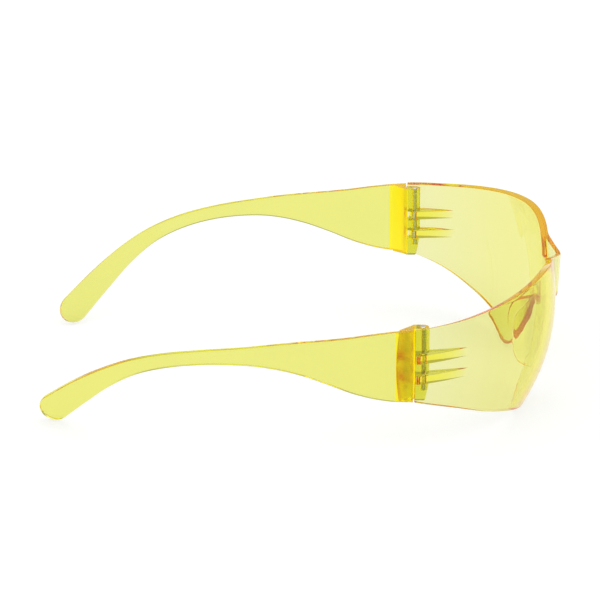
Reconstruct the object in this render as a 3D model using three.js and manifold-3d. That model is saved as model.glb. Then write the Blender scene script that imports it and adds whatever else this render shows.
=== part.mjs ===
// Frameless wraparound safety glasses: one moulded lens with its bridge and nose saddle, two
// folding temples and two steel hinge pins.
//
// Millimetres. The wearer looks along -Y, +X is the wearer's left and +Z is up. The origin is the
// middle of the bounding box's underside: the glasses stand on the lens's two lower corners and
// on the two temple tips.
import * as THREE from "three";
import { mergeVertices } from "three/addons/utils/BufferGeometryUtils.js";
import Module from "manifold-3d";

const wasm = await Module();
wasm.setup();

// ---- Driving dimensions --------------------------------------------------------------------

// Lens: each half is a piece of a barrel shape about that eye's own centre.
const EYE_X = 16.7; // its centre, out from the midline
const EYE_Y = -24.15;
const EYE_Z = 32.6;
const LENS_RADIUS = 57.2; // level
const LENS_RADIUS_UPRIGHT = 64;
const THICKNESS_FRONT = 2.5; // straight ahead of the eye
const THICKNESS_SIDE = 1.43; // square to the side of the eye
const LENS_REAR_Y = -35.0; // flat rear edge that meets the temple

// The lens's top and bottom edges. Wrap 0 is the midline, 1 is the rear edge beside the hinge.
const TOP_EDGE = [
  [0, 41.4], [0.053, 42.3], [0.106, 43.6], [0.17, 44.7], [0.26, 46.4], [0.36, 47.3],
  [0.47, 46.9], [0.573, 46.0], [0.72, 44.3], [0.842, 42.9], [1, 41.6],
];
const BOTTOM_EDGE = [
  [0, 25.6], [0.03, 24.9], [0.06, 22.1], [0.11, 15.3], [0.157, 9.3], [0.21, 3.9], [0.275, 0.8],
  [0.345, 0], [0.42, 0.9], [0.54, 3.9], [0.7125, 8.8], [0.86, 13.6], [1, 17.2],
];
const TOP_EDGE_DRAFT = 0.5; // how much lower the inner face ends along the top
const BOTTOM_EDGE_DRAFT = 0.35; // how much higher it ends along the bottom

// Bridge: a hollow ridge that stands forward of the two halves, with a pocket open at its top.
const RIDGE_Y = -83.8; // foremost line, on the midline at the top
const RIDGE_LEAN = 0.05; // how fast the ridge falls back on the way down
const RIDGE_SLOPE = 0.36; // how fast its flanks fall back on the way out
const RIDGE_ROUND = 1.4; // rounding of the ridge line
const RIDGE_FOOT_Z = 28.0; // below this the ridge curls back to the nose arch
const RIDGE_FOOT_CURL = 0.3;
const RIDGE_BLEND = 0.7; // rounding of the valley between ridge and lens half
const WALL_FRONT = 1.6; // wall in front of the pocket
const WALL_REAR = 1.2; // web behind the pocket
const WEB_BOW = 0.5; // 0 is a flat web from eye to eye, 1 follows the two halves
const POCKET_FLOOR_Z = 29.5;
const POCKET_LEVEL_STEP = 2;
const POCKET_LEVELS = 9; // the last ones are above the lens, so that the pocket opens there
const POCKET_COLUMNS = 12;
const POCKET_SIDE_DEPTH = 0.2; // the pocket ends sideways where it is this shallow
const POCKET_SIDE_STEP = 0.05; // how finely that place is looked for

// Nose saddle: one thin flange over the nose, from the lens's nasal edge back to a free rim.
const SADDLE_THICKNESS = 1.3; // at the root
const SADDLE_RIM_THICKNESS = 0.8;
const SADDLE_RIM = [
  // out from the midline, y, z: from the top of the arch to the foot of one pad
  [0, -75.6, 25.6], [3.2, -73.8, 24.4], [4.8, -71, 22.7], [6.2, -69.8, 20.4],
  [8.5, -69.4, 17.4], [11, -69.4, 14.5], [13, -69.8, 11.5], [14.6, -71.1, 9.1], [16, -74.6, 7.2],
];
const SADDLE_ROOT_WRAPS = [0, 0.03, 0.055, 0.08, 0.105, 0.13, 0.15, 0.165, 0.178];
const SADDLE_ROOT_RISE = 0.3; // root above the lens's nasal edge
const SADDLE_ROOT_DEPTH = 1.0; // root inside the lens wall
const SADDLE_STEPS = 36;
const SADDLE_ROWS = [0, 0.25, 0.5, 0.75, 1]; // from root to rim

// Temple: a flat strip that narrows, then hooks down behind the ear and bends inwards.
const HALF_WIDTH = 73.0; // midline to the flat outer face
const TEMPLE_THICKNESS = 2.0;
const TEMPLE_FRONT_Y = -34.6;
const BEND_START_Y = 6.2; // the strip is straight in plan as far back as this
const BEND_RADIUS = 125;
const BEND_LENGTH = 60; // along the strip, after which it is straight again
const CROWN_END_Y = -8; // the outer face is flat from here back, and crowned like the lens ahead
const TEMPLE_SPINE = [
  // y, z and half the strip's height, from the hinge to the round tip
  [TEMPLE_FRONT_Y, 29.3, 12.0], [-27, 29.3, 11.4], [-18.8, 29.85, 9.9], [-9.5, 31.05, 7.5],
  [-1.1, 32.1, 5.6], [7.8, 32.7, 4.05], [17.4, 32.6, 2.9], [31.2, 31.4, 2.3],
  [43.2, 29.0, 2.3], [53.2, 25.3, 2.6], [62.2, 19.7, 3.25], [70.7, 12.6, 4.1],
  [79.12, 4.7, 4.7],
];

// Hinge
const PIN_X = 67.4;
const PIN_Y = -37.5;
const PIN_RADIUS = 0.75;
const PIN_TOP_Z = 41.2;
const PIN_BOTTOM_Z = 20.9;
const RUNNING_GAP = 0.06; // pin to bore, on the radius
const KNUCKLE_RADIUS = 1.9;
const KNUCKLE_TOP_Z = 41.1;
const LENS_KNUCKLES = [[30.2, 32.85], [23.4, 26.05]]; // bottom and top of each
const KNUCKLE_GAP = 0.3; // between a lens knuckle and the temple, up and down
const SLOT_DEPTH = 2.4; // from the pin back to the end wall of each slot
const BOTTOM_KNUCKLE_Z = 17.4;
const BOTTOM_KNUCKLE_FRONT = 0.7; // its reach in front of the pin at its lowest point
const JOG_REAR_Y = -30.2; // where the diagonal wall leaves the strip
const JOG_BULGE = 0.9; // how much further back that is at mid height
const JOG_STEP = 1.1; // past the pin, where the jog steps back clear of the lens's rear edge
const JOG_OVERLAP = 1; // into the strip
const JOG_LEVELS = [-1, -0.75, -0.5, -0.25, 0, 0.25, 0.5, 0.75, 1];
const JOG_FOOT = [[0.5, 0.7], [0, 0.35]]; // the chamfered end of the wall at its slots
const KNUCKLE_OVERLAP = 0.3; // of a temple knuckle into the jog
const RIB_END_Y = -53.0; // where each lens knuckle's rib runs out
const RIB_RISE = 1.0; // over the rib's length
const RIB_YS = [LENS_REAR_Y - 0.6, -39, -42, -45, -48, RIB_END_Y]; // its points on the lens
const BORE_OVERRUN = 3; // of a cutting bar past the pin's ends, where the bore runs through

const YELLOW = 0xf0ee8c;
const STEEL = 0xb9bcc2;

const WRAP_STEPS_NOSE = 20;
const WRAP_STEPS_SIDE = 30;
const NOSE_WRAP = 0.2;
const EDGE_STEPS = 11;
const ROUND_STEPS = 24;
const KNUCKLE_STEPS = 8; // over a quarter turn
const LENS_KNUCKLE_STEPS = 10;
const TEMPLE_STEPS = 40;
const TEMPLE_ROWS = [-1, -0.5, 0, 0.5, 1]; // across the strip
const TIP_STEPS = 7;
const TIP_TURN = THREE.MathUtils.degToRad(84); // of the round tip, which ends in a small flat
const WELD = 1e-5;

// ---- Closed bodies from rings and grids ----------------------------------------------------

/** Geometry from a vertex list and a triangle list. */
function toGeometry(points, triangles) {
  const geometry = new THREE.BufferGeometry();
  const flat = points.flatMap((p) => [p.x, p.y, p.z]);
  geometry.setAttribute("position", new THREE.Float32BufferAttribute(flat, 3));
  geometry.setIndex(triangles);
  return geometry;
}

/** A sheet closed all round, from two grids of points of the same size, front and back. */
function closedSheet(front, back) {
  const rows = front.length;
  const columns = front[0].length;
  const points = [...front.flat(), ...back.flat()];
  const at = (side, row, column) => (side * rows + row) * columns + column;
  const triangles = [];
  const quad = (a, b, c, d) => triangles.push(a, b, c, a, c, d);
  for (let i = 0; i + 1 < rows; i++) {
    for (let j = 0; j + 1 < columns; j++) {
      quad(at(0, i, j), at(0, i + 1, j), at(0, i + 1, j + 1), at(0, i, j + 1));
      quad(at(1, i, j), at(1, i, j + 1), at(1, i + 1, j + 1), at(1, i + 1, j));
    }
    quad(at(0, i, 0), at(1, i, 0), at(1, i + 1, 0), at(0, i + 1, 0));
    const last = columns - 1;
    quad(at(0, i, last), at(0, i + 1, last), at(1, i + 1, last), at(1, i, last));
  }
  for (let j = 0; j + 1 < columns; j++) {
    quad(at(0, 0, j), at(0, 0, j + 1), at(1, 0, j + 1), at(1, 0, j));
    const last = rows - 1;
    quad(at(0, last, j), at(1, last, j), at(1, last, j + 1), at(0, last, j + 1));
  }
  return outward(toGeometry(points, triangles));
}

/** A body between level outlines, lowest first, each an equal number of plan points. */
function stack(plans, heights) {
  const clockwise = THREE.ShapeUtils.isClockWise(plans[0]);
  const outlines = clockwise ? plans.map((plan) => [...plan].reverse()) : plans;
  const count = outlines[0].length;
  const points = outlines.flatMap((outline, k) =>
    outline.map((p) => new THREE.Vector3(p.x, p.y, heights[k])));
  const triangles = [];
  for (let k = 0; k + 1 < outlines.length; k++) {
    for (let i = 0; i < count; i++) {
      const next = (i + 1) % count;
      const low = k * count;
      const high = low + count;
      triangles.push(low + i, low + next, high + next, low + i, high + next, high + i);
    }
  }
  const top = (outlines.length - 1) * count;
  for (const [a, b, c] of THREE.ShapeUtils.triangulateShape(outlines[0], [])) {
    triangles.push(a, c, b);
  }
  for (const [a, b, c] of THREE.ShapeUtils.triangulateShape(outlines.at(-1), [])) {
    triangles.push(top + a, top + b, top + c);
  }
  return outward(toGeometry(points, triangles));
}

/** Turns every face over if the body's volume comes out negative. */
function outward(geometry) {
  const position = geometry.attributes.position;
  const index = geometry.index.array;
  const [a, b, c] = [0, 1, 2].map(() => new THREE.Vector3());
  let volume = 0;
  for (let i = 0; i < index.length; i += 3) {
    a.fromBufferAttribute(position, index[i]);
    b.fromBufferAttribute(position, index[i + 1]);
    c.fromBufferAttribute(position, index[i + 2]);
    volume += a.dot(b.cross(c));
  }
  if (volume < 0) {
    for (let i = 0; i < index.length; i += 3) {
      [index[i], index[i + 2]] = [index[i + 2], index[i]];
    }
  }
  return geometry;
}

// ---- Joining and cutting -------------------------------------------------------------------

function toSolid(geometry) {
  const bare = geometry.clone();
  bare.deleteAttribute("normal");
  bare.deleteAttribute("uv");
  const merged = mergeVertices(bare, WELD);
  return new wasm.Manifold(new wasm.Mesh({
    numProp: 3,
    vertProperties: new Float32Array(merged.attributes.position.array),
    triVerts: new Uint32Array(merged.index.array),
  }));
}

function fromSolid(solid) {
  const mesh = solid.getMesh();
  const geometry = new THREE.BufferGeometry();
  geometry.setAttribute("position", new THREE.BufferAttribute(mesh.vertProperties, 3));
  geometry.setIndex(new THREE.BufferAttribute(mesh.triVerts, 1));
  geometry.computeVertexNormals();
  return geometry;
}

/** The same body on the other side of the midline. */
function mirrored(geometry) {
  const copy = geometry.clone();
  copy.scale(-1, 1, 1);
  return outward(copy);
}

// ---- Curves --------------------------------------------------------------------------------

/** A smooth curve z(t) through [t, z] points. */
function smoothThrough(points) {
  const slope = (i) => {
    const [t0, z0] = points[Math.max(i - 1, 0)];
    const [t1, z1] = points[Math.min(i + 1, points.length - 1)];
    return (z1 - z0) / (t1 - t0);
  };
  return (t) => {
    let i = 0;
    while (i + 2 < points.length && t > points[i + 1][0]) i++;
    const [t0, z0] = points[i];
    const [t1, z1] = points[i + 1];
    const span = t1 - t0;
    const s = (t - t0) / span;
    const ease = s * s * (3 - 2 * s);
    const leaving = s * (1 - s) * (1 - s) * span * slope(i);
    const arriving = s * s * (s - 1) * span * slope(i + 1);
    return z0 + (z1 - z0) * ease + leaving + arriving;
  };
}

/** Circle points in plan, from one angle to another, both in degrees. */
function arc(x, y, radius, from, to, steps) {
  return Array.from({ length: steps + 1 }, (_, i) => {
    const angle = THREE.MathUtils.degToRad(from + ((to - from) * i) / steps);
    return new THREE.Vector2(x + radius * Math.cos(angle), y + radius * Math.sin(angle));
  });
}

// ---- Lens ----------------------------------------------------------------------------------

const outerBarrel = { y: EYE_Y, radius: LENS_RADIUS, upright: LENS_RADIUS_UPRIGHT };
const innerBarrel = {
  y: EYE_Y + THICKNESS_FRONT - THICKNESS_SIDE,
  radius: LENS_RADIUS - THICKNESS_SIDE,
  upright: LENS_RADIUS_UPRIGHT - THICKNESS_SIDE,
};

/** Radius of a barrel's level circle at height z. */
function levelRadius(barrel, z) {
  const fall = barrel.upright - Math.sqrt(barrel.upright ** 2 - (z - EYE_Z) ** 2);
  return barrel.radius - fall;
}

/** The barrel's foreside at a distance x from the midline and a height z. */
function barrelY(barrel, x, z) {
  return barrel.y - Math.sqrt(levelRadius(barrel, z) ** 2 - (x - EYE_X) ** 2);
}

/** The point at a wrap value on a barrel's level circle at height z. */
function wrapPoint(barrel, wrap, z) {
  const radius = levelRadius(barrel, z);
  const start = Math.asin(-EYE_X / radius);
  const end = Math.acos((barrel.y - LENS_REAR_Y) / radius);
  const angle = start + (end - start) * wrap;
  return new THREE.Vector3(
    EYE_X + radius * Math.sin(angle),
    barrel.y - radius * Math.cos(angle),
    z,
  );
}

/** Where the bridge's ridge would be, before it blends into the barrel. */
function ridgeY(x, z) {
  const out = Math.hypot(x, RIDGE_ROUND) - RIDGE_ROUND;
  const curl = RIDGE_FOOT_CURL * Math.max(RIDGE_FOOT_Z - z, 0) ** 2;
  return RIDGE_Y + RIDGE_LEAN * (TOP_EDGE[0][1] - z) + RIDGE_SLOPE * out + curl;
}

/** The lens's outer face near the bridge: ridge or barrel, whichever is further forward. */
function outerY(x, z) {
  const barrel = barrelY(outerBarrel, x, z);
  const ridge = ridgeY(x, z);
  return (barrel + ridge - Math.hypot(barrel - ridge, RIDGE_BLEND)) / 2;
}

/** The inner face runs nearly straight across behind the bridge, from eye to eye. */
function innerY(x, z) {
  const short = Math.max(EYE_X - Math.abs(x), 0);
  return barrelY(innerBarrel, EYE_X - WEB_BOW * short, z);
}

function outerPoint(wrap, z) {
  const point = wrapPoint(outerBarrel, wrap, z);
  if (point.x < EYE_X) point.y = outerY(point.x, z);
  return point;
}

function innerPoint(wrap, z) {
  const point = wrapPoint(innerBarrel, wrap, z);
  if (point.x < EYE_X) point.y = innerY(point.x, z);
  return point;
}

/** Wrap values from the midline to the hinge, closer together over the nose. */
function wrapSteps() {
  const nose = Array.from({ length: WRAP_STEPS_NOSE }, (_, i) =>
    (NOSE_WRAP * i) / WRAP_STEPS_NOSE);
  const side = Array.from({ length: WRAP_STEPS_SIDE + 1 }, (_, i) =>
    NOSE_WRAP + ((1 - NOSE_WRAP) * i) / WRAP_STEPS_SIDE);
  return [...nose, ...side];
}

const topEdge = smoothThrough(TOP_EDGE);
const bottomEdge = smoothThrough(BOTTOM_EDGE);

/** One face of the whole lens, as columns of points from one hinge to the other. */
function lensFace(facePoint, topDraft, bottomDraft) {
  const half = wrapSteps().map((wrap) => {
    const low = bottomEdge(wrap) + bottomDraft;
    const high = topEdge(wrap) - topDraft;
    return Array.from({ length: EDGE_STEPS + 1 }, (_, j) =>
      facePoint(wrap, THREE.MathUtils.lerp(low, high, j / EDGE_STEPS)));
  });
  half[0].forEach((point) => point.setX(0));
  const across = half.slice(1).reverse().map((column) =>
    column.map((p) => new THREE.Vector3(-p.x, p.y, p.z)));
  return [...across, ...half];
}

/** The hollow inside the ridge, running out through the top of the bridge. */
function pocket() {
  const heights = Array.from({ length: POCKET_LEVELS }, (_, k) =>
    POCKET_FLOOR_Z + POCKET_LEVEL_STEP * k);
  const wall = (faceY) => heights.map((z) => {
    const depth = (x) => innerY(x, z) - WALL_REAR - (outerY(x, z) + WALL_FRONT);
    let reach = 0;
    while (depth(reach) > POCKET_SIDE_DEPTH) reach += POCKET_SIDE_STEP;
    return Array.from({ length: POCKET_COLUMNS + 1 }, (_, i) => {
      const x = reach * ((2 * i) / POCKET_COLUMNS - 1);
      return new THREE.Vector3(x, faceY(x, z), z);
    });
  });
  return closedSheet(
    wall((x, z) => outerY(Math.abs(x), z) + WALL_FRONT),
    wall((x, z) => innerY(x, z) - WALL_REAR),
  );
}

/** The flange over the nose: a strip between the root and rim curves, thickened outwards. */
function saddle() {
  const fullCurve = (half) => {
    const mirror = half.slice(1).reverse().map((p) => new THREE.Vector3(-p.x, p.y, p.z));
    return new THREE.CatmullRomCurve3([...mirror, ...half]);
  };
  const rootPoint = (wrap) => {
    const point = innerPoint(wrap, bottomEdge(wrap) + SADDLE_ROOT_RISE);
    return point.setY(point.y - SADDLE_ROOT_DEPTH);
  };
  const root = fullCurve(SADDLE_ROOT_WRAPS.map(rootPoint)).getPoints(SADDLE_STEPS);
  const rim = fullCurve(SADDLE_RIM.map((p) => new THREE.Vector3(...p)))
    .getPoints(SADDLE_STEPS);
  const noseSide = root.map((p, i) => SADDLE_ROWS.map((t) => p.clone().lerp(rim[i], t)));
  const lensSide = noseSide.map((row, i) => {
    const before = root[Math.max(i - 1, 0)];
    const after = root[Math.min(i + 1, SADDLE_STEPS)];
    const normal = new THREE.Vector3(before.z - after.z, 0, after.x - before.x).normalize();
    return row.map((p, k) => {
      const share = SADDLE_ROWS[k];
      const thickness = THREE.MathUtils.lerp(SADDLE_THICKNESS, SADDLE_RIM_THICKNESS, share);
      return p.clone().addScaledVector(normal, thickness);
    });
  });
  return closedSheet(noseSide, lensSide);
}

/** A lens knuckle with its web to the lens and the rib that tapers forward along the lens. */
function lensKnuckle([low, high]) {
  const middle = (low + high) / 2;
  const skin = (y) => {
    // halfway through the lens's thickness at this y
    const reach = (barrel) => {
      const radius = levelRadius(barrel, middle);
      return EYE_X + Math.sqrt(radius ** 2 - (barrel.y - y) ** 2);
    };
    return new THREE.Vector2((reach(outerBarrel) + reach(innerBarrel)) / 2, y);
  };
  const plan = [
    ...RIB_YS.map(skin),
    ...arc(PIN_X, PIN_Y, KNUCKLE_RADIUS, 190, 90, LENS_KNUCKLE_STEPS),
  ];
  const geometry = stack([plan, plan], [low, high]);
  const position = geometry.attributes.position;
  const ribStart = PIN_Y - KNUCKLE_RADIUS;
  for (let i = 0; i < position.count; i++) {
    const forward = Math.max(ribStart - position.getY(i), 0);
    const rise = (RIB_RISE * forward) / (ribStart - RIB_END_Y);
    position.setZ(i, position.getZ(i) + rise);
  }
  return geometry;
}

/** A round bar along Z at the pin's place on the +X side. */
function bar(radius, low, high) {
  const geometry = new THREE.CylinderGeometry(radius, radius, high - low, ROUND_STEPS);
  geometry.rotateX(Math.PI / 2);
  geometry.translate(PIN_X, PIN_Y, (low + high) / 2);
  return geometry;
}

function lensGeometry() {
  const shell = toSolid(closedSheet(
    lensFace(outerPoint, 0, 0),
    lensFace(innerPoint, TOP_EDGE_DRAFT, BOTTOM_EDGE_DRAFT),
  ));
  let solid = shell.subtract(toSolid(pocket())).add(toSolid(saddle()));
  const bore = bar(
    PIN_RADIUS + RUNNING_GAP, PIN_BOTTOM_Z - BORE_OVERRUN, PIN_TOP_Z + BORE_OVERRUN);
  for (const side of [(g) => g, mirrored]) {
    for (const span of LENS_KNUCKLES) solid = solid.add(toSolid(side(lensKnuckle(span))));
    solid = solid.subtract(toSolid(side(bore)));
  }
  return fromSolid(solid);
}

// ---- Temple --------------------------------------------------------------------------------

/** How far in the strip has bent, and its slope there, after a length along its side view. */
function bendAfter(length) {
  const curved = THREE.MathUtils.clamp(length, 0, BEND_LENGTH);
  const across = Math.sqrt(BEND_RADIUS ** 2 - curved ** 2);
  const slope = curved / across;
  return { inwards: BEND_RADIUS - across + slope * Math.max(length - curved, 0), slope };
}

/** How far in the outer face falls above and below the lens's level centre, near the hinge. */
function crown(y, z) {
  const share = (CROWN_END_Y - y) / (CROWN_END_Y - TEMPLE_FRONT_Y);
  return (THREE.MathUtils.clamp(share, 0, 1) * (z - EYE_Z) ** 2) / (2 * LENS_RADIUS_UPRIGHT);
}

/** The strip from hinge to tip: side-view centre, direction, half height, and its bend. */
function templeStations() {
  const spine = new THREE.CatmullRomCurve3(
    TEMPLE_SPINE.map((p) => new THREE.Vector3(...p)), false, "centripetal");
  const stations = spine.getPoints(TEMPLE_STEPS).map((p, i) => {
    const tangent = spine.getTangent(i / TEMPLE_STEPS);
    const along = new THREE.Vector2(tangent.x, tangent.y).normalize();
    return { centre: new THREE.Vector2(p.x, p.y), along, half: p.z };
  });
  const end = stations.at(-1);
  for (let i = 1; i <= TIP_STEPS; i++) {
    const angle = (i / TIP_STEPS) * TIP_TURN;
    stations.push({
      centre: end.centre.clone().addScaledVector(end.along, end.half * Math.sin(angle)),
      along: end.along,
      half: end.half * Math.cos(angle),
    });
  }
  let length = stations[0].centre.x - BEND_START_Y;
  stations.forEach((station, i) => {
    if (i > 0) length += station.centre.distanceTo(stations[i - 1].centre);
    station.bend = bendAfter(length);
  });
  return stations;
}

/** One face of the strip, a given depth in from its outer face, as rows across it. */
function templeLayer(depth) {
  return templeStations().map(({ centre, along, half, bend }) => {
    const across = new THREE.Vector2(-along.y, along.x);
    const facing = new THREE.Vector3(1, bend.slope * along.x, bend.slope * along.y).normalize();
    return TEMPLE_ROWS.map((t) => {
      const side = centre.clone().addScaledVector(across, t * half);
      const x = HALF_WIDTH - bend.inwards - crown(side.x, side.y);
      return new THREE.Vector3(x, side.x, side.y).addScaledVector(facing, -depth);
    });
  });
}

function templeStrip() {
  return closedSheet(templeLayer(0), templeLayer(TEMPLE_THICKNESS));
}

/** The diagonal wall that carries the strip inwards to the knuckles. */
function templeJog() {
  const inner = PIN_X - KNUCKLE_RADIUS;
  const middle = TEMPLE_SPINE[0][1];
  const half = KNUCKLE_TOP_Z - middle;
  const slotWall = PIN_Y + SLOT_DEPTH;
  const heights = JOG_LEVELS.map((t) => middle + t * half);
  const outlines = heights.map((z) => {
    const rear = JOG_REAR_Y + JOG_BULGE * (1 - ((z - middle) / half) ** 2);
    const plate = HALF_WIDTH - TEMPLE_THICKNESS - crown(TEMPLE_FRONT_Y, z);
    return [
      new THREE.Vector2(inner, slotWall),
      new THREE.Vector2(PIN_X + JOG_STEP, slotWall),
      new THREE.Vector2(PIN_X + JOG_STEP, TEMPLE_FRONT_Y),
      new THREE.Vector2(plate + JOG_OVERLAP, TEMPLE_FRONT_Y),
      new THREE.Vector2(plate + JOG_OVERLAP, rear),
      new THREE.Vector2(plate, rear),
      ...JOG_FOOT.map(([across, back]) => new THREE.Vector2(inner + across, slotWall + back)),
    ];
  });
  return stack(outlines, heights);
}

/** A temple knuckle: round in front, square where it runs back into the jog. */
function templeKnuckle(low, high, frontLow, frontHigh) {
  const plan = (front) => {
    const inner = Array.from({ length: KNUCKLE_STEPS + 1 }, (_, i) => {
      const angle = THREE.MathUtils.degToRad(180 + (90 * i) / KNUCKLE_STEPS);
      return new THREE.Vector2(
        PIN_X + KNUCKLE_RADIUS * Math.cos(angle), PIN_Y + front * Math.sin(angle));
    });
    const outer = arc(PIN_X, PIN_Y, front, 270, 360, KNUCKLE_STEPS).slice(1);
    const rear = PIN_Y + SLOT_DEPTH + KNUCKLE_OVERLAP;
    return [
      ...inner,
      ...outer,
      new THREE.Vector2(PIN_X + front, rear),
      new THREE.Vector2(PIN_X - KNUCKLE_RADIUS, rear),
    ];
  };
  return stack([plan(frontLow), plan(frontHigh)], [low, high]);
}

function templeGeometry() {
  const [upper, lower] = LENS_KNUCKLES;
  let solid = toSolid(templeStrip()).add(toSolid(templeJog()));
  const full = KNUCKLE_RADIUS;
  const knuckles = [
    [upper[1] + KNUCKLE_GAP, KNUCKLE_TOP_Z, full, full],
    [lower[1] + KNUCKLE_GAP, upper[0] - KNUCKLE_GAP, full, full],
    [BOTTOM_KNUCKLE_Z, lower[0] - KNUCKLE_GAP, BOTTOM_KNUCKLE_FRONT, full],
  ];
  for (const knuckle of knuckles) solid = solid.add(toSolid(templeKnuckle(...knuckle)));
  const bore = bar(
    PIN_RADIUS + RUNNING_GAP, PIN_BOTTOM_Z - RUNNING_GAP, PIN_TOP_Z + BORE_OVERRUN);
  return fromSolid(solid.subtract(toSolid(bore)));
}

// ---- Assembly ------------------------------------------------------------------------------

function part(name, geometry, material) {
  const mesh = new THREE.Mesh(geometry, material);
  mesh.name = name;
  return mesh;
}

const plastic = () => new THREE.MeshStandardMaterial({
  color: YELLOW, roughness: 0.08, metalness: 0, transparent: true, opacity: 0.5,
});
const steel = () => new THREE.MeshStandardMaterial({
  color: STEEL, roughness: 0.3, metalness: 1,
});

const glasses = new THREE.Group();
const temple = templeGeometry();
const pin = bar(PIN_RADIUS, PIN_BOTTOM_Z, PIN_TOP_Z);
glasses.add(part("lens", lensGeometry(), plastic()));
glasses.add(part("temple_left", temple, plastic()));
glasses.add(part("temple_right", mirrored(temple), plastic()));
glasses.add(part("hinge_pin_left", pin, steel()));
glasses.add(part("hinge_pin_right", mirrored(pin), steel()));

export default glasses;
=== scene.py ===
"""Looks for the wraparound safety glasses: a fine one-piece lens, two temples and two pins.

Lengths in the tables are millimetres in the CAD frame; meshes are made in metres.
"""

import math

import bmesh
import bpy
import numpy as np
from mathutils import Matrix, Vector


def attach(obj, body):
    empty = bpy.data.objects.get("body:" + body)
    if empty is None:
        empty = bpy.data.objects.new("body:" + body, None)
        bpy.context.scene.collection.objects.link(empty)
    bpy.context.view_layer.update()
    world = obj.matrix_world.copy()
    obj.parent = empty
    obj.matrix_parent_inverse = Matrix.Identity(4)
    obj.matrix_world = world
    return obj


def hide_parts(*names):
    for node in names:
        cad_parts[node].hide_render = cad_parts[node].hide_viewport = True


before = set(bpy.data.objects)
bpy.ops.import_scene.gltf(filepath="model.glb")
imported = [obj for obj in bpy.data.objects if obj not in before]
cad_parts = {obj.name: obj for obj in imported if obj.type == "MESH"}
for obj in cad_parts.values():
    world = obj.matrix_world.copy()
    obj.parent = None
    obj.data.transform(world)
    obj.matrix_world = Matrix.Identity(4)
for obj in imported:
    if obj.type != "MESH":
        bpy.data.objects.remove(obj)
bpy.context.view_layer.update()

MM = 0.001

# ---- Driving dimensions, the same as the CAD part's ------------------------------------------

# Lens: each half is a piece of a barrel shape about that eye's own centre.
EYE_X = 16.7
EYE_Y = -24.15
EYE_Z = 32.6
LENS_RADIUS = 57.2              # level
LENS_RADIUS_UPRIGHT = 64
THICKNESS_FRONT = 2.5           # straight ahead of the eye
THICKNESS_SIDE = 1.43           # square to the side of the eye
LENS_REAR_Y = -35.0

# Wrap value and height. Wrap 0 is the midline, 1 is the rear edge beside the hinge.
TOP_EDGE = [
    (0, 41.4), (0.053, 42.3), (0.106, 43.6), (0.17, 44.7), (0.26, 46.4), (0.36, 47.3),
    (0.47, 46.9), (0.573, 46.0), (0.72, 44.3), (0.842, 42.9), (1, 41.6),
]
BOTTOM_EDGE = [
    (0, 25.6), (0.03, 24.9), (0.06, 22.1), (0.11, 15.3), (0.157, 9.3), (0.21, 3.9),
    (0.275, 0.8), (0.345, 0), (0.42, 0.9), (0.54, 3.9), (0.7125, 8.8), (0.86, 13.6),
    (1, 17.2),
]
TOP_EDGE_DRAFT = 0.5            # how much lower the inner face ends along the top
BOTTOM_EDGE_DRAFT = 0.35        # how much higher it ends along the bottom
LENS_EDGE_ROUND = 0.3

# Bridge: a hollow ridge forward of the two halves, with a pocket open at its top.
RIDGE_Y = -83.8
RIDGE_LEAN = 0.05
RIDGE_SLOPE = 0.36
RIDGE_ROUND = 1.4
RIDGE_FOOT_Z = 28.0
RIDGE_FOOT_CURL = 0.3
RIDGE_BLEND = 0.7               # rounding of the valley between ridge and lens half
RIDGE_FADE = 4                  # that rounding fades out over this, next to EYE_X
WALL_FRONT = 1.6
WALL_REAR = 1.2
WEB_BOW = 0.5                   # 0 is a flat web from eye to eye, 1 follows the two halves
POCKET_FLOOR_Z = 29.5
POCKET_HEIGHT = 16              # past the top of the lens, so that the pocket opens there
POCKET_HALF_WIDTH = 12          # more than it ever has
POCKET_SIDE_DEPTH = 0.2         # it ends sideways where it is this shallow

# Nose saddle: a flange over the nose, from the lens's nasal edge back to a free rim.
SADDLE_THICKNESS = 1.3          # at the root
SADDLE_RIM_THICKNESS = 0.8
SADDLE_RIM = [
    # out from the midline, y, z: from the top of the arch to the foot of one pad
    (0, -75.6, 25.6), (3.2, -73.8, 24.4), (4.8, -71, 22.7), (6.2, -69.8, 20.4),
    (8.5, -69.4, 17.4), (11, -69.4, 14.5), (13, -69.8, 11.5), (14.6, -71.1, 9.1),
    (16, -74.6, 7.2),
]
SADDLE_ROOT_WRAPS = [0, 0.03, 0.055, 0.08, 0.105, 0.13, 0.15, 0.165, 0.178]
SADDLE_ROOT_RISE = 0.3          # root above the lens's nasal edge
SADDLE_ROOT_DEPTH = 1.0         # root inside the lens wall
SADDLE_ROUND = 0.5

# Temple: a flat strip that narrows, then hooks down behind the ear and bends inwards.
HALF_WIDTH = 73.0
TEMPLE_THICKNESS = 2.0
TEMPLE_FRONT_Y = -34.6
TEMPLE_ROUND = 0.5
BEND_START_Y = 6.2              # the strip is straight from the hinge to here
BEND_RADIUS = 125
BEND_LENGTH = 60                # along the strip, after which it is straight again
CROWN_END_Y = -8                # from here back the outer face has no crown
TIP_TURN = math.radians(84)     # of the round tip, which ends in a small flat
TEMPLE_SPINE = [
    # y, z and half the strip's height, from the hinge to the round tip
    (TEMPLE_FRONT_Y, 29.3, 12.0), (-27, 29.3, 11.4), (-18.8, 29.85, 9.9), (-9.5, 31.05, 7.5),
    (-1.1, 32.1, 5.6), (7.8, 32.7, 4.05), (17.4, 32.6, 2.9), (31.2, 31.4, 2.3),
    (43.2, 29.0, 2.3), (53.2, 25.3, 2.6), (62.2, 19.7, 3.25), (70.7, 12.6, 4.1),
    (79.12, 4.7, 4.7),
]

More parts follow.
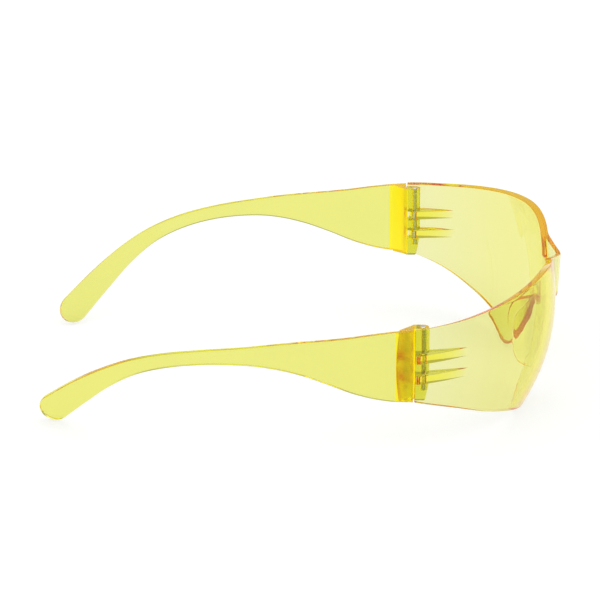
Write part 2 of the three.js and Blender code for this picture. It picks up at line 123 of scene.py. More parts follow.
# Hinge
PIN_X = 67.4
PIN_Y = -37.5
PIN_RADIUS = 0.75
PIN_CHAMFER = 0.12
PIN_TOP_Z = 41.2
PIN_BOTTOM_Z = 20.9
RUNNING_GAP = 0.06              # pin to bore, on the radius
BORE_OVERRUN = 3                # of a cutting bar past the pin's ends
KNUCKLE_RADIUS = 1.9
KNUCKLE_TOP_Z = 41.1
LENS_KNUCKLES = [(30.2, 32.85), (23.4, 26.05)]  # bottom and top of each
KNUCKLE_GAP = 0.3
KNUCKLE_OVERLAP = 0.3           # of a temple knuckle into the jog
SLOT_DEPTH = 2.4                # from the pin back to the end wall of each slot
BOTTOM_KNUCKLE_Z = 17.4
BOTTOM_KNUCKLE_FRONT = 0.7      # its reach in front of the pin at its lowest point
JOG_REAR_Y = -30.2              # where the diagonal wall leaves the strip
JOG_BULGE = 0.9                 # how much further back that is at mid height
JOG_STEP = 1.1
JOG_OVERLAP = 1                 # into the strip
JOG_FOOT = [(0.5, 0.7), (0, 0.35)]  # out and back from its inner corner at the slots
RIB_START_Y = LENS_REAR_Y - 0.6
RIB_END_Y = -53.0
RIB_RISE = 1.0

# The most that rounding takes of a wall.
MOST_INSET = 0.48               # share of its thickness, from each face at a rounded end
MOST_CORNER = 0.45              # share of its thickness, at each corner
MOST_EDGE = 0.4                 # share of its width, at each edge

# Least values that keep a division defined.
THINNEST = 1e-6                 # a wall's thickness
LEAST_GAP = 1e-4                # root of the distance between two points of a curve

# How fine the meshes are.
CORNER_SHARES = (0.2, 0.4, 0.6, 0.8)
LENS_ROWS = 60
END_ANGLES = [30, 60, 90]       # of the sections round the lens's rear edges, in degrees
ROUND_STEPS = 64
KNUCKLE_STEPS = 24
LENS_KNUCKLE_STEPS = 30
RIB_POINTS = 24
NOSE_WRAP = 0.2                 # sections are closer together over the nose, up to here
NOSE_SECTIONS = 60
SIDE_SECTIONS = 110
POCKET_LEVELS = 40
POCKET_COLUMNS = 49
POCKET_SEARCH_STEP = 0.02
SADDLE_STEPS = 200
SADDLE_ROWS = 14
TEMPLE_STEPS = 220
TEMPLE_ROWS = 30
TIP_STEPS = 16
JOG_LEVELS = 41
SMOOTH_ANGLE = math.radians(32)

# Where the looks change within one moulding. A hinge block's walls are nearer the midline than
# BLOCK_SIDE_X and ahead of BLOCK_REAR_Y, or within BLOCK_FRONT_SKIN of the temple's front face.
# They begin BLOCK_SLOT_SKIN ahead of the slots' end walls, so that the knuckles stay clear.
# On these walls a golden tint and a glow are painted light, in place of the light that the block
# guides to them.
BLOCK_SIDE_X = 71.4
BLOCK_REAR_Y = -29.0
BLOCK_FRONT_SKIN = 0.2
BLOCK_SLOT_SKIN = 0.1
# The nose saddle goes from the lens's look to the pads' own look over these two stretches.
PADS_Y = (-75.5, -73.0)
PADS_X = (18.5, 16.5)

# Looks
POLYCARBONATE_IOR = 1.585
LEAST_CLEAR = 0.985             # share of clearness at the faintest spots of the drift


# ---- Curves ------------------------------------------------------------------------------------

def smooth_through(points):
    """A smooth curve z(t) through (t, z) points."""
    ts = np.array([p[0] for p in points], float)
    zs = np.array([p[1] for p in points], float)
    last = len(points) - 1
    before = np.clip(np.arange(last + 1) - 1, 0, last)
    after = np.clip(np.arange(last + 1) + 1, 0, last)
    slopes = (zs[after] - zs[before]) / (ts[after] - ts[before])

    def curve(t):
        i = np.clip(np.searchsorted(ts, t, side="left") - 1, 0, last - 1)
        span = ts[i + 1] - ts[i]
        s = (t - ts[i]) / span
        ease = s * s * (3 - 2 * s)
        leaving = s * (1 - s) ** 2 * span * slopes[i]
        arriving = s * s * (s - 1) * span * slopes[i + 1]
        return zs[i] + (zs[i + 1] - zs[i]) * ease + leaving + arriving

    return curve


def curve_through(points, steps):
    """Points along a centripetal Catmull-Rom curve, evenly spaced in its parameter."""
    points = np.array(points, float)
    ends = [2 * points[0] - points[1], 2 * points[-1] - points[-2]]
    held = np.vstack([ends[0], points, ends[1]])
    out = []
    for k in range(steps + 1):
        place = k / steps * (len(points) - 1)
        i = min(int(place), len(points) - 2)
        t = place - i
        a, b, c, d = held[i:i + 4]
        gaps = [max(np.linalg.norm(q - p) ** 0.5, LEAST_GAP)
                for p, q in ((a, b), (b, c), (c, d))]
        leave = (b - a) / gaps[0] - (c - a) / (gaps[0] + gaps[1]) + (c - b) / gaps[1]
        reach = (c - b) / gaps[1] - (d - b) / (gaps[1] + gaps[2]) + (d - c) / gaps[2]
        leave, reach = leave * gaps[1], reach * gaps[1]
        cubic = 2 * b - 2 * c + leave + reach
        square = -3 * b + 3 * c - 2 * leave - reach
        out.append(b + leave * t + square * t * t + cubic * t ** 3)
    return np.array(out)


def arc(x, y, radius, start, end, steps):
    """Circle points in plan between two angles in degrees."""
    angles = np.radians(np.linspace(start, end, steps + 1))
    return [(x + radius * math.cos(a), y + radius * math.sin(a)) for a in angles]


# ---- Meshes ------------------------------------------------------------------------------------

def make_object(name, points, faces):
    """An object from millimetre points, with its faces turned outwards."""
    mesh = bpy.data.meshes.new(name)
    mesh.from_pydata([tuple(p) for p in np.array(points) * MM], [], faces)
    work = bmesh.new()
    work.from_mesh(mesh)
    bmesh.ops.recalc_face_normals(work, faces=work.faces)
    work.to_mesh(mesh)
    work.free()
    made = bpy.data.objects.new(name, mesh)
    bpy.context.scene.collection.objects.link(made)
    return made


def rings_object(name, rings):
    """A body through equal closed rings of points, with a flat face at each end."""
    rings = np.array(rings)
    count, size = rings.shape[:2]
    faces = [tuple(range(size)), tuple(range((count - 1) * size, count * size))]
    for i in range(count - 1):
        for j in range(size):
            k = (j + 1) % size
            low, high = i * size, (i + 1) * size
            faces.append((low + j, low + k, high + k, high + j))
    return make_object(name, rings.reshape(-1, 3), faces)


def level_object(name, plans, heights):
    """A body through level outlines at the given heights."""
    return rings_object(name, [[(x, y, z) for x, y in plan]
                               for plan, z in zip(plans, heights)])


def rounded_section(front, back, length, radius, steps, inset=0.0):
    """A ring round a wall between two faces, with rounded corners.

    front and back give points for values from 0 to 1 across the wall's width, which is about
    length. inset pulls the whole ring inwards, for the rounded end of a wall.
    """
    pull = inset / length

    def faces_at(t):
        """Points of both faces at shares t of the wall's width, pulled in by inset."""
        t = pull + (1 - 2 * pull) * np.atleast_1d(t)
        a, b = front(t), back(t)
        thick = np.linalg.norm(b - a, axis=1)[:, None]
        share = np.minimum(inset / thick, MOST_INSET)
        return a + (b - a) * share, b + (a - b) * share

    edge = min(radius / length, MOST_EDGE)
    across = np.linspace(edge, 1 - edge, steps)
    a, b = faces_at(across)
    ring = list(a)

    def corner(start, middle, end):
        """The points between start and end of a curve that bends towards middle."""
        for s in CORNER_SHARES:
            ring.append((1 - s) ** 2 * start + 2 * s * (1 - s) * middle + s * s * end)

    def turn(at, first, second):
        """Two corners over the wall's edge, from one face's last point to the other's."""
        one, other = faces_at(at)
        one, other = one[0], other[0]
        if first is not a:
            one, other = other, one
        thick = np.linalg.norm(other - one)
        share = min(radius, MOST_CORNER * thick) / max(thick, THINNEST)
        near = one + (other - one) * share
        far = other + (one - other) * share
        index = -1 if at == 1 else 0
        corner(first[index], one, near)
        ring.append(near)
        ring.append(far)
        corner(far, other, second[index])

    turn(1, a, b)
    ring.extend(b[::-1])
    turn(0, b, a)
    return np.array(ring)


def combine(base, other, operation):
    """Joins or cuts base with other, and removes other."""
    step = base.modifiers.new("combine", "BOOLEAN")
    step.operation = operation
    step.solver = "MANIFOLD"
    step.object = other
    graph = bpy.context.evaluated_depsgraph_get()
    mesh = bpy.data.meshes.new_from_object(base.evaluated_get(graph))
    base.modifiers.clear()
    old = base.data
    base.data = mesh
    bpy.data.meshes.remove(old)
    bpy.data.objects.remove(other)
    return base


def smooth(piece):
    """Smooth shading, with edges sharper than SMOOTH_ANGLE left crisp."""
    work = bmesh.new()
    work.from_mesh(piece.data)
    for face in work.faces:
        face.smooth = True
    for edge in work.edges:
        edge.smooth = len(edge.link_faces) == 2 and edge.calc_face_angle() < SMOOTH_ANGLE
    work.to_mesh(piece.data)
    work.free()


def bar(name, radius, low, high, side):
    """A round bar along Z at a hinge pin's place."""
    x = PIN_X * side
    plan = arc(x, PIN_Y, radius, 0, 360, ROUND_STEPS)[:-1]
    return level_object(name, [plan, plan], [low, high])


# ---- Lens --------------------------------------------------------------------------------------

# Centre y, level radius and upright radius of each lens half's two faces.
OUTER = (EYE_Y, LENS_RADIUS, LENS_RADIUS_UPRIGHT)
INNER = (
    EYE_Y + THICKNESS_FRONT - THICKNESS_SIDE,
    LENS_RADIUS - THICKNESS_SIDE,
    LENS_RADIUS_UPRIGHT - THICKNESS_SIDE,
)


def level_radius(barrel, z):
    """Radius of a barrel's level circle at height z."""
    return barrel[1] - barrel[2] + np.sqrt(barrel[2] ** 2 - (z - EYE_Z) ** 2)


def barrel_y(barrel, x, z):
    """The barrel's foreside at a distance x from the midline and a height z."""
    return barrel[0] - np.sqrt(level_radius(barrel, z) ** 2 - (x - EYE_X) ** 2)


def wrap_point(barrel, wrap, z):
    """The point at a share of the way from the midline to the rear edge, at height z."""
    radius = level_radius(barrel, z)
    start = np.arcsin(-EYE_X / radius)
    end = np.arccos((barrel[0] - LENS_REAR_Y) / radius)
    angle = start + (end - start) * wrap
    return EYE_X + radius * np.sin(angle), barrel[0] - radius * np.cos(angle)


def outer_y(x, z):
    """The ridge or the barrel, whichever is further forward, with a rounded valley."""
    out = np.hypot(x, RIDGE_ROUND) - RIDGE_ROUND
    curl = RIDGE_FOOT_CURL * np.maximum(RIDGE_FOOT_Z - z, 0) ** 2
    ridge = RIDGE_Y + RIDGE_LEAN * (TOP_EDGE[0][1] - z) + RIDGE_SLOPE * out + curl
    barrel = barrel_y(OUTER, x, z)
    blend = RIDGE_BLEND * np.clip((EYE_X - x) / RIDGE_FADE, 0, 1)
    return (barrel + ridge - np.hypot(barrel - ridge, blend)) / 2


def inner_y(x, z):
    """The inner face runs nearly straight across behind the bridge, from eye to eye."""
    short = np.maximum(EYE_X - np.abs(x), 0)
    return barrel_y(INNER, EYE_X - WEB_BOW * short, z)


def face_point(barrel, face_y, wrap, z):
    """Points of one face of the lens at a wrap value and heights z, on the +X side."""
    z = np.asarray(z, float)
    x, y = wrap_point(barrel, wrap, z)
    y = np.where(x < EYE_X, face_y(np.minimum(x, EYE_X), z), y)
    if wrap == 0:
        x = np.zeros_like(z)
        y = face_y(x, z)
    return np.stack([x, y, z], axis=-1)


top_edge = smooth_through(TOP_EDGE)
bottom_edge = smooth_through(BOTTOM_EDGE)


def lens_ring(wrap, inset):
    """The lens's upright section at a wrap value."""
    low, high = bottom_edge(wrap), top_edge(wrap)

    def front(t):
        return face_point(OUTER, outer_y, wrap, low + (high - low) * t)

    def back(t):
        inner_low = low + BOTTOM_EDGE_DRAFT
        inner_high = high - TOP_EDGE_DRAFT
        return face_point(INNER, inner_y, wrap, inner_low + (inner_high - inner_low) * t)

    return rounded_section(front, back, high - low, LENS_EDGE_ROUND, LENS_ROWS, inset)


def lens_shell():
    """The lens from hinge to hinge, with its rear edges rounded, before the bridge is hollow."""
    wraps = [(w, 0.0) for w in np.linspace(0, NOSE_WRAP, NOSE_SECTIONS, endpoint=False)]
    wrap_length = 90.0      # about, along the lens from the midline to the rear edge
    last = 1 - LENS_EDGE_ROUND / wrap_length
    wraps += [(w, 0.0) for w in np.linspace(NOSE_WRAP, last, SIDE_SECTIONS)]
    for angle in np.radians(END_ANGLES):
        wrap = 1 - LENS_EDGE_ROUND * (1 - math.sin(angle)) / wrap_length
        wraps.append((wrap, LENS_EDGE_ROUND * (1 - math.cos(angle))))
    half = [lens_ring(wrap, inset) for wrap, inset in wraps]
    other = [ring * (-1, 1, 1) for ring in half[:0:-1]]
    return rings_object("lens_polycarbonate", other + half)


def pocket():
    """The hollow inside the bridge's ridge, open at its top."""
    rings = []
    for z in np.linspace(POCKET_FLOOR_Z, POCKET_FLOOR_Z + POCKET_HEIGHT, POCKET_LEVELS):
        xs = np.arange(0, POCKET_HALF_WIDTH, POCKET_SEARCH_STEP)
        depth = inner_y(xs, z) - WALL_REAR - outer_y(xs, z) - WALL_FRONT
        reach = xs[np.argmax(depth <= POCKET_SIDE_DEPTH)]
        across = np.linspace(-reach, reach, POCKET_COLUMNS)
        front = [(x, outer_y(abs(x), z) + WALL_FRONT, z) for x in across]
        back = [(x, inner_y(x, z) - WALL_REAR, z) for x in across[::-1]]
        rings.append(front + back)
    return rings_object("pocket", rings)


def saddle():
    """The flange over the nose, which thins from its root to its rim."""
    def both(half):
        """The +X half of a curve with its mirror image before it."""
        half = [np.array(p, float) for p in half]
        return [p * (-1, 1, 1) for p in half[:0:-1]] + half

    roots = []
    for wrap in SADDLE_ROOT_WRAPS:
        height = bottom_edge(wrap) + SADDLE_ROOT_RISE
        point = face_point(INNER, inner_y, wrap, height)
        roots.append(point - (0, SADDLE_ROOT_DEPTH, 0))
    root = curve_through(both(roots), SADDLE_STEPS)
    rim = curve_through(both(SADDLE_RIM), SADDLE_STEPS)
    rings = []
    for i in range(SADDLE_STEPS + 1):
        before, after = root[max(i - 1, 0)], root[min(i + 1, SADDLE_STEPS)]
        normal = np.array([before[2] - after[2], 0, after[0] - before[0]])
        normal /= np.linalg.norm(normal)
        length = np.linalg.norm(rim[i] - root[i])

        def nose_side(t, i=i):
            return root[i] + (rim[i] - root[i]) * np.asarray(t)[:, None]

        def lens_side(t, i=i, normal=normal):
            deep = np.interp(t, (0, 1), (SADDLE_THICKNESS, SADDLE_RIM_THICKNESS))
            return nose_side(t, i) + normal * deep[:, None]

        rings.append(rounded_section(nose_side, lens_side, length, SADDLE_ROUND, SADDLE_ROWS))
    return rings_object("saddle", rings)


def lens_knuckle(low, high, side):
    """A lens knuckle with its web to the lens and the rib that runs forward from it."""
    middle = (low + high) / 2

    def skin(y):
        """The middle of the lens's thickness at this y."""
        reach = [math.sqrt(level_radius(barrel, middle) ** 2 - (barrel[0] - y) ** 2)
                 for barrel in (OUTER, INNER)]
        return (EYE_X + sum(reach) / 2, y)

    plan = [skin(y) for y in np.linspace(RIB_START_Y, RIB_END_Y, RIB_POINTS)]
    plan += arc(PIN_X, PIN_Y, KNUCKLE_RADIUS, 190, 90, LENS_KNUCKLE_STEPS)
    start = PIN_Y - KNUCKLE_RADIUS
    rings = []
    for z in (low, high):
        rises = [RIB_RISE * max(start - y, 0) / (start - RIB_END_Y) for x, y in plan]
        rings.append([(x * side, y, z + rise) for (x, y), rise in zip(plan, rises)])
    return rings_object("knuckle", rings)


def build_lens():
    """The whole moulding: lens, hollow bridge, nose saddle and bored knuckles."""
    lens = lens_shell()
    combine(lens, pocket(), "DIFFERENCE")
    combine(lens, saddle(), "UNION")
    for side in (1, -1):
        for low, high in LENS_KNUCKLES:
            combine(lens, lens_knuckle(low, high, side), "UNION")
        bore = bar("bore", PIN_RADIUS + RUNNING_GAP, PIN_BOTTOM_Z - BORE_OVERRUN,
                   PIN_TOP_Z + BORE_OVERRUN, side)
        combine(lens, bore, "DIFFERENCE")
    smooth(lens)
    return lens


# ---- Temples -----------------------------------------------------------------------------------

def bend_after(length):
    """How far in the strip has bent after a length along its side view, and its slope."""
    curved = min(max(length, 0), BEND_LENGTH)
    across = math.sqrt(BEND_RADIUS ** 2 - curved ** 2)
    slope = curved / across
    return BEND_RADIUS - across + slope * max(length - curved, 0), slope


def crown(y, z):
    """How far in the outer face falls above and below the lens's level centre, near the hinge."""
    share = np.clip((CROWN_END_Y - y) / (CROWN_END_Y - TEMPLE_FRONT_Y), 0, 1)
    return share * (z - EYE_Z) ** 2 / (2 * LENS_RADIUS_UPRIGHT)


def temple_stations():
    """(centre, direction, half height, inward bend, its slope) from hinge to round tip."""
    spine = curve_through(TEMPLE_SPINE, TEMPLE_STEPS)
    tangents = np.gradient(spine[:, :2], axis=0)
    tangents /= np.linalg.norm(tangents, axis=1)[:, None]
    stations = [(p[:2], t, p[2]) for p, t in zip(spine, tangents)]
    centre, along, half = stations[-1]
    for i in range(1, TIP_STEPS + 1):
        angle = TIP_TURN * i / TIP_STEPS
        stations.append((centre + along * half * math.sin(angle), along,
                         half * math.cos(angle)))
    length = stations[0][0][0] - BEND_START_Y
    out = []
    for i, (centre, along, half) in enumerate(stations):
        if i:
            length += np.linalg.norm(centre - stations[i - 1][0])
        out.append((centre, along, half, *bend_after(length)))
    return out


def temple_strip(side):
    """The flat strip from the hinge to its round tip."""
    rings = []
    for centre, along, half, inwards, slope in temple_stations():
        across = np.array([-along[1], along[0]])
        facing = np.array([1, slope * along[0], slope * along[1]])
        facing /= np.linalg.norm(facing)

        def outer(t, centre=centre, across=across, half=half, inwards=inwards):
            place = centre + (2 * np.asarray(t)[:, None] - 1) * half * across
            x = HALF_WIDTH - inwards - crown(place[:, 0], place[:, 1])
            return np.column_stack([x, place])

        def inner(t, outer=outer, facing=facing):
            return outer(t) - facing * TEMPLE_THICKNESS

        ring = rounded_section(outer, inner, 2 * half, TEMPLE_ROUND, TEMPLE_ROWS)
        rings.append(ring * (side, 1, 1))
    return rings_object("temple_polycarbonate", rings)


def temple_jog(side):
    """The diagonal wall that carries the strip inwards to the knuckles."""
    inner = PIN_X - KNUCKLE_RADIUS
    middle = TEMPLE_SPINE[0][1]
    half = KNUCKLE_TOP_Z - middle
    slot_wall = PIN_Y + SLOT_DEPTH
    rings = []
    for t in np.linspace(-1, 1, JOG_LEVELS):
        z = middle + t * half
        rear = JOG_REAR_Y + JOG_BULGE * (1 - t * t)
        plate = HALF_WIDTH - TEMPLE_THICKNESS - crown(TEMPLE_FRONT_Y, z)
        plan = [
            (inner, slot_wall),
            (PIN_X + JOG_STEP, slot_wall),
            (PIN_X + JOG_STEP, TEMPLE_FRONT_Y),
            (plate + JOG_OVERLAP, TEMPLE_FRONT_Y),
            (plate + JOG_OVERLAP, rear),
            (plate, rear),
            *[(inner + across, slot_wall + back) for across, back in JOG_FOOT],
        ]
        rings.append([(x * side, y, z) for x, y in plan])
    return rings_object("jog", rings)


def temple_knuckle(low, high, front_low, front_high, side):
    """A temple knuckle: round in front, square where it runs back into the jog."""
    rear = PIN_Y + SLOT_DEPTH + KNUCKLE_OVERLAP
    rings = []
    for front, z in ((front_low, low), (front_high, high)):
        plan = []
        for angle in np.radians(np.linspace(180, 270, KNUCKLE_STEPS + 1)):
            plan.append((PIN_X + KNUCKLE_RADIUS * math.cos(angle),
                         PIN_Y + front * math.sin(angle)))
        plan += arc(PIN_X, PIN_Y, front, 270, 360, KNUCKLE_STEPS)[1:]
        plan += [(PIN_X + front, rear), (PIN_X - KNUCKLE_RADIUS, rear)]
        rings.append([(x * side, y, z) for x, y in plan])
    return rings_object("knuckle", rings)


def build_temple(side):
    """A temple: strip, diagonal wall and three bored knuckles."""
    upper, lower = LENS_KNUCKLES
    temple = temple_strip(side)
    combine(temple, temple_jog(side), "UNION")
    full = KNUCKLE_RADIUS
    for low, high, front_low, front_high in (
        (upper[1] + KNUCKLE_GAP, KNUCKLE_TOP_Z, full, full),
        (lower[1] + KNUCKLE_GAP, upper[0] - KNUCKLE_GAP, full, full),
        (BOTTOM_KNUCKLE_Z, lower[0] - KNUCKLE_GAP, BOTTOM_KNUCKLE_FRONT, full),
    ):
        combine(temple, temple_knuckle(low, high, front_low, front_high, side), "UNION")
    bore = bar("bore", PIN_RADIUS + RUNNING_GAP, PIN_BOTTOM_Z - RUNNING_GAP,
               PIN_TOP_Z + BORE_OVERRUN, side)
    combine(temple, bore, "DIFFERENCE")
    smooth(temple)
    return temple


# ---- Pins --------------------------------------------------------------------------------------

def build_pin(side):
    """A cut length of drawn wire with broken edges at both ends."""
    profile = [
        (PIN_BOTTOM_Z, PIN_RADIUS - PIN_CHAMFER),
        (PIN_BOTTOM_Z + PIN_CHAMFER, PIN_RADIUS),
        (PIN_TOP_Z - PIN_CHAMFER, PIN_RADIUS),
        (PIN_TOP_Z, PIN_RADIUS - PIN_CHAMFER),
    ]
    plans = [arc(PIN_X * side, PIN_Y, radius, 0, 360, ROUND_STEPS)[:-1]
             for z, radius in profile]
    pin = level_object("pin_wire", plans, [z for z, radius in profile])
    smooth(pin)
    return pin


# ---- Materials ---------------------------------------------------------------------------------

def new_material(name):
    """A node material: itself, its nodes, its links and its shader."""
    material = bpy.data.materials.new(name)
    material.use_nodes = True
    nodes = material.node_tree.nodes
    return material, nodes, material.node_tree.links, nodes["Principled BSDF"]


def noise_value(nodes, links, scale, detail, low, high, stretch=(1, 1, 1)):
    """A socket that drifts between two values over the surface."""
    coordinates = nodes.new("ShaderNodeTexCoord")
    mapping = nodes.new("ShaderNodeMapping")
    mapping.inputs["Scale"].default_value = stretch
    noise = nodes.new("ShaderNodeTexNoise")
    noise.inputs["Scale"].default_value = scale
    noise.inputs["Detail"].default_value = detail
    spread = nodes.new("ShaderNodeMapRange")
    # The noise node's values lie mostly between these first two.
    spread.inputs["From Min"].default_value = 0.3
    spread.inputs["From Max"].default_value = 0.7
    spread.inputs["To Min"].default_value = low
    spread.inputs["To Max"].default_value = high
    links.new(coordinates.outputs["Object"], mapping.inputs["Vector"])
    links.new(mapping.outputs["Vector"], noise.inputs["Vector"])
    links.new(noise.outputs["Fac"], spread.inputs["Value"])
    return spread.outputs["Result"]


def mixed(nodes, links, factor, start, end, colour):
    """A socket that goes from a socket's value to a constant one as factor goes from 0 to 1."""
    node = nodes.new("ShaderNodeMix")
    if colour:
        node.data_type = "RGBA"
    node.inputs["B"].default_value = end
    links.new(factor, node.inputs["Factor"])
    links.new(start, node.inputs["A"])
    return node.outputs["Result"]


def object_axes(nodes, links):
    """The outputs X, Y and Z of a point's own place on the object at rest."""
    coordinates = nodes.new("ShaderNodeTexCoord")
    parts = nodes.new("ShaderNodeSeparateXYZ")
    links.new(coordinates.outputs["Object"], parts.inputs["Vector"])
    return parts.outputs


def painted_guided_light_mask(nodes, links):
    """A socket that is 1 on a temple's hinge block, behind its outer face, and 0 elsewhere."""
    def compare(socket, limit, operation="LESS_THAN"):
        node = nodes.new("ShaderNodeMath")
        node.operation = operation
        node.inputs[1].default_value = limit * MM
        links.new(socket, node.inputs[0])
        return node.outputs[0]

    def join(operation, *sockets):
        node = nodes.new("ShaderNodeMath")
        node.operation = operation
        for socket, entry in zip(sockets, node.inputs):
            links.new(socket, entry)
        return node.outputs[0]

    # The mask carries the painted golden tint and painted glow, in place of light the block
    # guides.
    axes = object_axes(nodes, links)
    slots_end = PIN_Y + SLOT_DEPTH - BLOCK_SLOT_SKIN
    behind = compare(axes["Y"], slots_end, "GREATER_THAN")
    inside = compare(join("ABSOLUTE", axes["X"]), BLOCK_SIDE_X)
    ahead = compare(axes["Y"], BLOCK_REAR_Y)
    front = compare(axes["Y"], TEMPLE_FRONT_Y + BLOCK_FRONT_SKIN)
    block = join("MAXIMUM", join("MULTIPLY", inside, ahead), front)
    return join("MULTIPLY", block, behind)


def nose_pad_mask(nodes, links):
    """A socket that goes from 0 on the lens to 1 on the rear part of the nose saddle."""
    def ramp(socket, start, end):
        node = nodes.new("ShaderNodeMapRange")
        node.inputs["From Min"].default_value = start * MM
        node.inputs["From Max"].default_value = end * MM
        links.new(socket, node.inputs["Value"])
        return node.outputs["Result"]

    axes = object_axes(nodes, links)
    across = nodes.new("ShaderNodeMath")
    across.operation = "ABSOLUTE"
    links.new(axes["X"], across.inputs[0])
    both = nodes.new("ShaderNodeMath")
    both.operation = "MULTIPLY"
    links.new(ramp(axes["Y"], *PADS_Y), both.inputs[0])
    links.new(ramp(across.outputs[0], *PADS_X), both.inputs[1])
    return both.outputs[0]


def polycarbonate(name, per_mm, clear, rough, block=None, pads=None):
    """Clear polycarbonate tinted through.

    per_mm is how fast red, green and blue fade inside it, clear is what a wall lets through
    apart from the tint, and rough is the range of its surface roughness. block is the painted
    golden tint, roughness and painted glow of a hinge block's walls: tint and glow both stand
    in for light that the block guides to them. pads is what the nose saddle's walls let through.
    """
    material, nodes, links, shader = new_material(name)
    shader.inputs["IOR"].default_value = POLYCARBONATE_IOR
    shader.inputs["Transmission Weight"].default_value = 1.0
    # The grey specular tint is painted shade: it dims the reflections in place of darker
    # surroundings.
    shader.inputs["Specular Tint"].default_value = (0.3, 0.3, 0.3, 1)
    tint = nodes.new("ShaderNodeMix")
    tint.data_type = "RGBA"
    tint.inputs["A"].default_value = (*[c * LEAST_CLEAR for c in clear], 1)
    tint.inputs["B"].default_value = (*clear, 1)
    drift = noise_value(nodes, links, scale=45, detail=2, low=0, high=1)
    links.new(drift, tint.inputs["Factor"])
    colour = tint.outputs["Result"]
    smoothest, roughest = rough
    roughness = noise_value(
        nodes, links, scale=160, detail=3, low=smoothest, high=roughest)
    # On the hinge block, painted light: a golden tint and a glow in place of the light it guides
    # to its walls.
    if block:
        painted_guided_light_tint, block_roughness, painted_guided_light_glow = block
        mask = painted_guided_light_mask(nodes, links)
        colour = mixed(nodes, links, mask, colour, (*painted_guided_light_tint, 1), colour=True)
        roughness = mixed(nodes, links, mask, roughness, block_roughness, colour=False)
        shader.inputs["Emission Color"].default_value = (*painted_guided_light_glow, 1)
        links.new(mask, shader.inputs["Emission Strength"])
    if pads:
        mask = nose_pad_mask(nodes, links)
        colour = mixed(nodes, links, mask, colour, (*pads, 1), colour=True)
    links.new(colour, shader.inputs["Base Color"])
    links.new(roughness, shader.inputs["Roughness"])
    bump = nodes.new("ShaderNodeBump")
    bump.inputs["Strength"].default_value = 0.25
    bump.inputs["Distance"].default_value = 0.00002
    waves = noise_value(nodes, links, scale=220, detail=1, low=0, high=1)
    links.new(waves, bump.inputs["Height"])
    links.new(bump.outputs["Normal"], shader.inputs["Normal"])
    volume = nodes.new("ShaderNodeVolumeAbsorption")
    density = max(per_mm) / MM
    volume.inputs["Density"].default_value = density
    volume.inputs["Color"].default_value = (*[1 - k / max(per_mm) for k in per_mm], 1)
    links.new(volume.outputs["Volume"], nodes["Material Output"].inputs["Volume"])
    return material


def steel_wire(name):
    """Bright steel with fine lines along the wire, from drawing."""
    material, nodes, links, shader = new_material(name)
    shader.inputs["Metallic"].default_value = 1.0
    ramp = nodes.new("ShaderNodeMix")
    ramp.data_type = "RGBA"
    ramp.inputs["A"].default_value = (0.72, 0.72, 0.73, 1)
    ramp.inputs["B"].default_value = (0.88, 0.88, 0.89, 1)
    drawn = noise_value(
        nodes, links, scale=1500, detail=3, low=0, high=1, stretch=(1, 1, 0.06))
    links.new(drawn, ramp.inputs["Factor"])
    links.new(ramp.outputs["Result"], shader.inputs["Base Color"])
    polish = noise_value(nodes, links, scale=900, detail=2, low=0.22, high=0.4)
    links.new(polish, shader.inputs["Roughness"])
    bump = nodes.new("ShaderNodeBump")
    bump.inputs["Strength"].default_value = 0.3
    bump.inputs["Distance"].default_value = 0.00001
    links.new(drawn, bump.inputs["Height"])
    links.new(bump.outputs["Normal"], shader.inputs["Normal"])
    return material


lens_plastic = polycarbonate(
    "clear_yellow_lens",
    per_mm=(0.0008, 0.012, 0.40),
    clear=(0.845, 0.86, 0.87),
    rough=(0.0, 0.015),
    pads=(0.98, 0.98, 0.98),
)
temple_plastic = polycarbonate(
    "clear_yellow_temple",
    per_mm=(0.0008, 0.012, 0.66),
    clear=(0.81, 0.83, 0.83),
    rough=(0.01, 0.05),
    # The hinge blocks' painted golden tint, their roughness, and their painted glow.
    block=((1.0, 0.86, 0.01), 0.3, (0.06, 0.03, 0.0)),
)
pin_steel = steel_wire("drawn_steel")


# ---- Assembly ----------------------------------------------------------------------------------

def place(piece, material, slot, body, node):
    """Gives a piece its material and puts it on a body in place of a CAD node; slot is not used.
    """
    piece.data.materials.clear()
    piece.data.materials.append(material)
    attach(piece, body)
    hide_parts(node)


place(build_lens(), lens_plastic, "yellow_polycarbonate_lens", "lens_body", "lens")
for word, side in (("left", 1), ("right", -1)):
    temple = build_temple(side)
    temple.name = f"{word}_temple_polycarbonate"
    place(temple, temple_plastic, "yellow_polycarbonate_temple",
          f"{word}_temple_body", f"temple_{word}")
    pin = build_pin(side)
    pin.name = f"{word}_hinge_wire"
    place(pin, pin_steel, "steel_pin", "lens_body", f"hinge_pin_{word}")


# ---- Stage, light and camera -------------------------------------------------------------------

def make_floor():
    """A white floor just under the glasses: most of its light is its own, so shadows are faint."""
    size = 6.0
    gap = 0.0003
    mesh = bpy.data.meshes.new("floor")
    corners = [(-size, -size, 0), (size, -size, 0), (size, size, 0), (-size, size, 0)]
    mesh.from_pydata(corners, [], [(0, 1, 2, 3)])
    floor = bpy.data.objects.new("floor", mesh)
    floor.location.z = -gap
    bpy.context.scene.collection.objects.link(floor)
    material, _, _, shader = new_material("floor_white")
    shader.inputs["Base Color"].default_value = (0.35, 0.35, 0.35, 1)
    shader.inputs["Roughness"].default_value = 0.9
    shader.inputs["Specular IOR Level"].default_value = 0.0
    shader.inputs["Emission Color"].default_value = (1, 1, 1, 1)
    shader.inputs["Emission Strength"].default_value = 0.71
    mesh.materials.append(material)


def make_lamp(name, place, target, size, power):
    """A square area lamp aimed at a target."""
    lamp = bpy.data.lights.new(name, "AREA")
    lamp.shape = "SQUARE"
    lamp.size = size
    lamp.energy = power
    holder = bpy.data.objects.new(name, lamp)
    holder.location = place
    aim = Vector(target) - Vector(place)
    holder.rotation_mode = "QUATERNION"
    holder.rotation_quaternion = aim.to_track_quat("-Z", "Y")
    bpy.context.scene.collection.objects.link(holder)


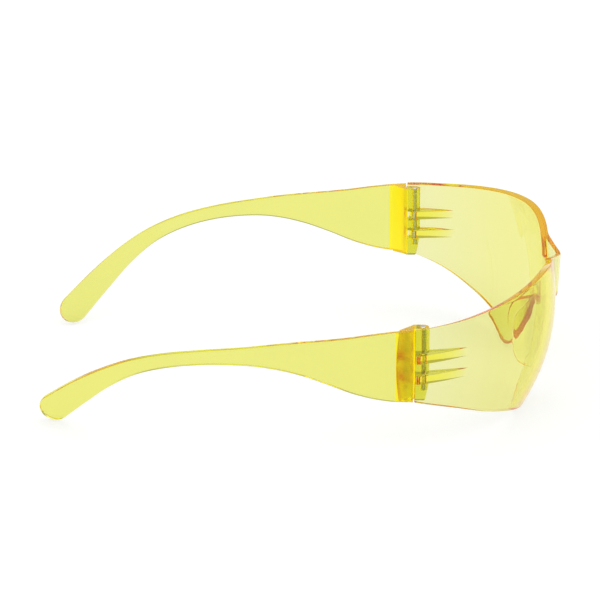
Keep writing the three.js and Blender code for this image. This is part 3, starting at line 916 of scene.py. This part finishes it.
# Brightness of the surroundings against the height of a direction: white up to the horizon,
# dimmer walls, and a bright ceiling.
SKY_LEVELS = [(0.08, 1.02), (0.25, 0.55), (0.55, 0.6), (0.85, 1.25)]


def make_world():
    """Surroundings whose brightness depends on the height of a direction only."""
    world = bpy.data.worlds.new("studio")
    world.use_nodes = True
    nodes, links = world.node_tree.nodes, world.node_tree.links
    coordinates = nodes.new("ShaderNodeTexCoord")
    parts = nodes.new("ShaderNodeSeparateXYZ")
    levels = nodes.new("ShaderNodeValToRGB")
    ramp = levels.color_ramp
    for height, level in SKY_LEVELS[1:-1]:
        ramp.elements.new(height).color = (level, level, level, 1)
    for end, (height, level) in ((0, SKY_LEVELS[0]), (-1, SKY_LEVELS[-1])):
        ramp.elements[end].position = height
        ramp.elements[end].color = (level, level, level, 1)
    links.new(coordinates.outputs["Generated"], parts.inputs["Vector"])
    links.new(parts.outputs["Z"], levels.inputs["Fac"])
    links.new(levels.outputs["Color"], nodes["Background"].inputs["Color"])
    bpy.context.scene.world = world


def make_camera():
    """The camera: what it looks at, how far off, and from which side and height."""
    target = Vector((0, 1.2, 24.8)) * MM
    distance = 1180.3 * MM
    azimuth, elevation = math.radians(-89.36), math.radians(20.32)
    back = Vector((
        math.sin(azimuth) * math.cos(elevation),
        -math.cos(azimuth) * math.cos(elevation),
        math.sin(elevation),
    ))
    data = bpy.data.cameras.new("camera")
    data.sensor_width = 36
    data.lens = 216
    data.clip_start = 0.05
    data.clip_end = 50
    camera = bpy.data.objects.new("camera", data)
    camera.location = target + back * distance
    camera.rotation_mode = "QUATERNION"
    camera.rotation_quaternion = (-back).to_track_quat("-Z", "Y")
    bpy.context.scene.collection.objects.link(camera)
    bpy.context.scene.camera = camera


make_floor()
make_world()
make_lamp("front_softbox", place=(-0.3, -1.2, 0.8), target=(0, 0, 0.02), size=0.8, power=3)
make_camera()

scene = bpy.context.scene
scene.view_settings.view_transform = "Standard"
light_bounces = 64      # enough to follow light that the clear edges guide along themselves
scene.cycles.max_bounces = light_bounces
scene.cycles.transmission_bounces = light_bounces
scene.cycles.glossy_bounces = light_bounces
